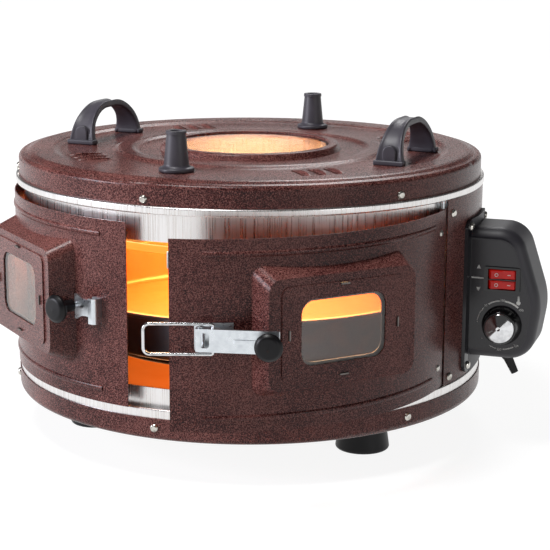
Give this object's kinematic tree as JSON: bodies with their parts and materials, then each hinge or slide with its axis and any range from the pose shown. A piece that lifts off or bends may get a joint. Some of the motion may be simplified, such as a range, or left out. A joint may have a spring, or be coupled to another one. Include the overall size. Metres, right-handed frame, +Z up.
{
  "type": "round electric oven",
  "caption": "Countertop drum oven with curved swing-open doors at the front, a lid with a window that lifts off, and a control box on its side.",
  "frame": {"origin": "on the drum's axis, in the plane that the feet stand on", "axes": "+Z up along the drum's axis; -Y is the front, where the doors meet; +X is the side with the control box"},
  "size_m": [0.4954, 0.5047, 0.2912],
  "materials": {
    "hammertone": "dark red-brown hammered enamel",
    "ring_aluminium": "satin, spun",
    "liner_steel": "bright rolled sheet",
    "zinc_steel": "zinc-plated",
    "screw_steel": "nickel-plated",
    "chrome_wire": "bright wire",
    "chrome_cap": "polished",
    "heater_sheath": "heat-stained",
    "tray_aluminium": "satin, pressed",
    "moulded_black": "fine-grained heat-proof moulding",
    "control_black": "fine-grained",
    "gloss_black": "polished",
    "switch_red": "translucent red",
    "black_rubber": "moulded",
    "ceramic": "unglazed ceramic",
    "window_glass": "clear heat-proof pane"
  },
  "bodies": {
    "drum": {"base_pan": "hammertone", "lower_ring": "ring_aluminium", "upper_ring": "ring_aluminium", "body_shell": "hammertone", "chamber_liner": "liner_steel", "right_door_post": "liner_steel", "left_door_post": "liner_steel", "right_hinge_pin": "zinc_steel", "left_hinge_pin": "zinc_steel", "floor_plate": "liner_steel", "right_foot": "moulded_black", "left_foot": "moulded_black", "rear_foot": "moulded_black", "foot_bolts": "zinc_steel", "lower_heater": "heater_sheath", "upper_heater": "heater_sheath", "heater_bushes": "ceramic", "lower_heater_clips": "zinc_steel", "upper_heater_clips": "zinc_steel", "tray_rack": "chrome_wire", "baking_tray": "tray_aluminium", "control_box": "control_black", "switch_frame": "gloss_black", "thermostat_body": "zinc_steel", "cord_gland": "black_rubber", "base_screws": "screw_steel", "shell_screws": "screw_steel", "control_box_screws": "screw_steel"},
    "right_door": {"right_door_skin": "hammertone", "right_window_glass": "window_glass", "right_glass_retainer": "zinc_steel", "right_door_rivets": "zinc_steel", "latch_base": "zinc_steel", "latch_pin": "zinc_steel"},
    "left_door": {"left_door_skin": "hammertone", "left_window_glass": "window_glass", "left_glass_retainer": "zinc_steel", "left_door_rivets": "zinc_steel", "left_door_knob": "moulded_black", "hook_plate": "zinc_steel"},
    "latch_lever": {"latch_lever": "zinc_steel", "latch_knob": "moulded_black"},
    "latch_bail": {"latch_bail": "chrome_wire"},
    "lid": {"lid_cover": "hammertone", "lid_reflector": "liner_steel", "lid_glass": "window_glass", "lid_glass_ring": "gloss_black", "right_handle": "moulded_black", "left_handle": "moulded_black", "front_peg": "moulded_black", "back_peg": "moulded_black", "lid_screws": "screw_steel", "handle_screws": "screw_steel"},
    "upper_rocker": {"upper_rocker": "switch_red"},
    "lower_rocker": {"lower_rocker": "switch_red"},
    "thermostat_dial": {"thermostat_knob": "gloss_black", "knob_cap": "chrome_cap", "thermostat_shaft": "zinc_steel"}
  },
  "joints": [
    {"name": "right_door_hinge", "type": "hinge", "parent": "drum", "child": "right_door", "pos_m": [0.20478, -0.05487, 0.1436], "axis": [0, 0, 1], "range_deg": [-16.4, 83.6]},
    {"name": "left_door_hinge", "type": "hinge", "parent": "drum", "child": "left_door", "pos_m": [-0.20478, -0.05487, 0.1436], "axis": [0, 0, -1], "range_deg": [-2.05, 97.95]},
    {"name": "latch_lever_pivot", "type": "hinge", "parent": "right_door", "child": "latch_lever", "pos_m": [0.0771, -0.26652, 0.1445], "axis": [0, 0, -1], "range_deg": [0, 120]},
    {"name": "latch_bail_pivot", "type": "hinge", "parent": "latch_lever", "child": "latch_bail", "pos_m": [0.0867, -0.26373, 0.1445], "axis": [0, 0, -1], "range_deg": [-120, 0]},
    {"name": "lid_lift", "type": "slide", "parent": "drum", "child": "lid", "axis": [0, 0, 1], "range_m": [0, 0.25]},
    {"name": "upper_rocker_tilt", "type": "hinge", "parent": "drum", "child": "upper_rocker", "pos_m": [0.24602, -0.00558, 0.15855], "axis": [0, 0, 1], "range_deg": [-18, 0]},
    {"name": "lower_rocker_tilt", "type": "hinge", "parent": "drum", "child": "lower_rocker", "pos_m": [0.24602, -0.00558, 0.14945], "axis": [0, 0, 1], "range_deg": [-18, 0]},
    {"name": "thermostat_turn", "type": "hinge", "parent": "drum", "child": "thermostat_dial", "pos_m": [0.24718, -0.00849, 0.1125], "axis": [-0.0872, 0.9962, 0], "range_deg": [0, 270]}
  ],
  "couplings": [
    {"joint": "latch_bail_pivot", "follows": "latch_lever_pivot", "ratio": -1}
  ]
}
